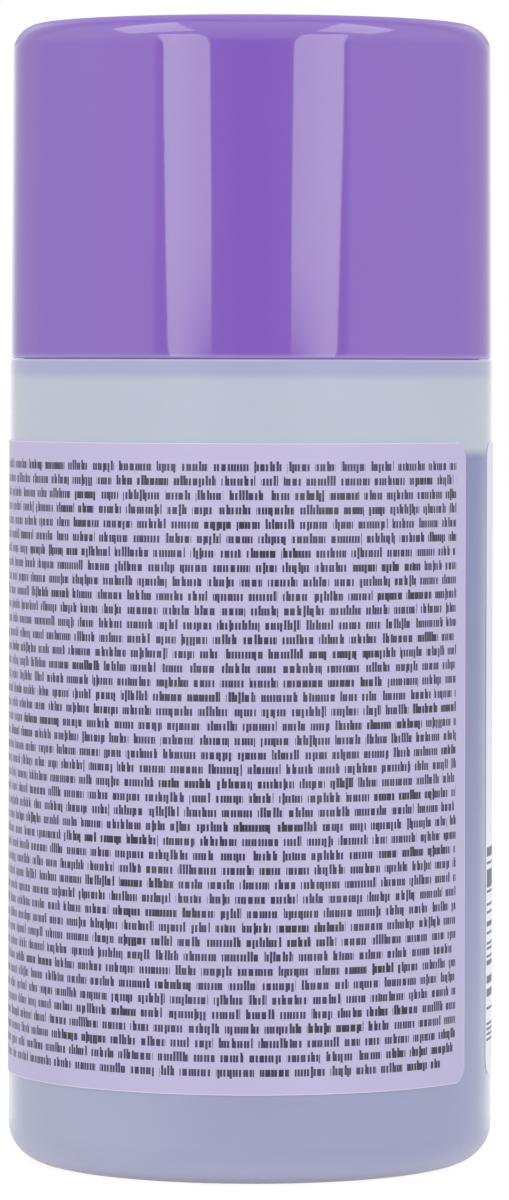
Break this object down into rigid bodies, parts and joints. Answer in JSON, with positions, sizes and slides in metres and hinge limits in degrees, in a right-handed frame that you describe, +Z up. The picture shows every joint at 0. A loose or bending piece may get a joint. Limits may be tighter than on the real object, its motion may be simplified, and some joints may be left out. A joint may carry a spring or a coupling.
{
  "type": "nail polish remover bottle with push-down dish pump",
  "caption": "Round bottle of nail polish remover with a lift-off overcap over a push-down dish pump on a screw collar.",
  "frame": {"origin": "centre of the base, on the surface that the bottle stands on", "axes": "+Z up along the bottle's axis; -Y is the pictured side, which the lilac back label faces; +X is to the right of it"},
  "size_m": [0.062, 0.062, 0.1452],
  "materials": {
    "frosted_bottle": "frosted, translucent, faintly blue-violet",
    "lilac_label": "satin printed film",
    "white_label": "satin printed film",
    "remover": "clear blue-violet liquid",
    "violet_cap": "smooth, glossy",
    "white_polypropylene": "satin moulded",
    "natural_polypropylene": "natural, slightly translucent",
    "foam_liner": "fine closed-cell foam",
    "spring_wire": "drawn stainless wire",
    "valve_glass": "polished"
  },
  "bodies": {
    "bottle_body": {"bottle": "frosted_bottle", "back_label": "lilac_label", "front_label": "white_label", "remover_liquid": "remover"},
    "overcap_body": {"overcap": "violet_cap"},
    "pump_body": {"neck_gasket": "foam_liner", "pump_housing": "natural_polypropylene", "stem_guide": "white_polypropylene", "dip_tube": "natural_polypropylene", "return_spring": "spring_wire"},
    "collar_body": {"screw_collar": "white_polypropylene"},
    "actuator_body": {"pump_stem": "white_polypropylene", "piston": "natural_polypropylene", "press_dish": "white_polypropylene", "nozzle_cap": "white_polypropylene"},
    "inlet_ball_body": {"inlet_ball": "valve_glass"},
    "outlet_ball_body": {"outlet_ball": "valve_glass"}
  },
  "joints": [
    {"name": "overcap_lift", "type": "slide", "parent": "bottle_body", "child": "overcap_body", "axis": [0, 0, 1], "range_m": [0, 0.05]},
    {"name": "pump_lift", "type": "slide", "parent": "bottle_body", "child": "pump_body", "axis": [0, 0, 1], "range_m": [0, 0.00424]},
    {"name": "collar_turn", "type": "hinge", "parent": "pump_body", "child": "collar_body", "pos_m": [0, 0, 0.1272], "axis": [0, 0, 1], "range_deg": [0, 360]},
    {"name": "pump_press", "type": "slide", "parent": "pump_body", "child": "actuator_body", "axis": [0, 0, -1], "range_m": [0, 0.0055], "stiffness_N_per_m": 800, "springref_m": -0.005, "deforming": ["return_spring"]},
    {"name": "inlet_ball_lift", "type": "slide", "parent": "pump_body", "child": "inlet_ball_body", "axis": [0, 0, 1], "range_m": [0, 0.001]},
    {"name": "outlet_ball_lift", "type": "slide", "parent": "actuator_body", "child": "outlet_ball_body", "axis": [0, 0, 1], "range_m": [0, 0.0006]}
  ],
  "couplings": [
    {"joint": "pump_lift", "follows": "collar_turn", "m_per_rad": 0.00067375}
  ]
}
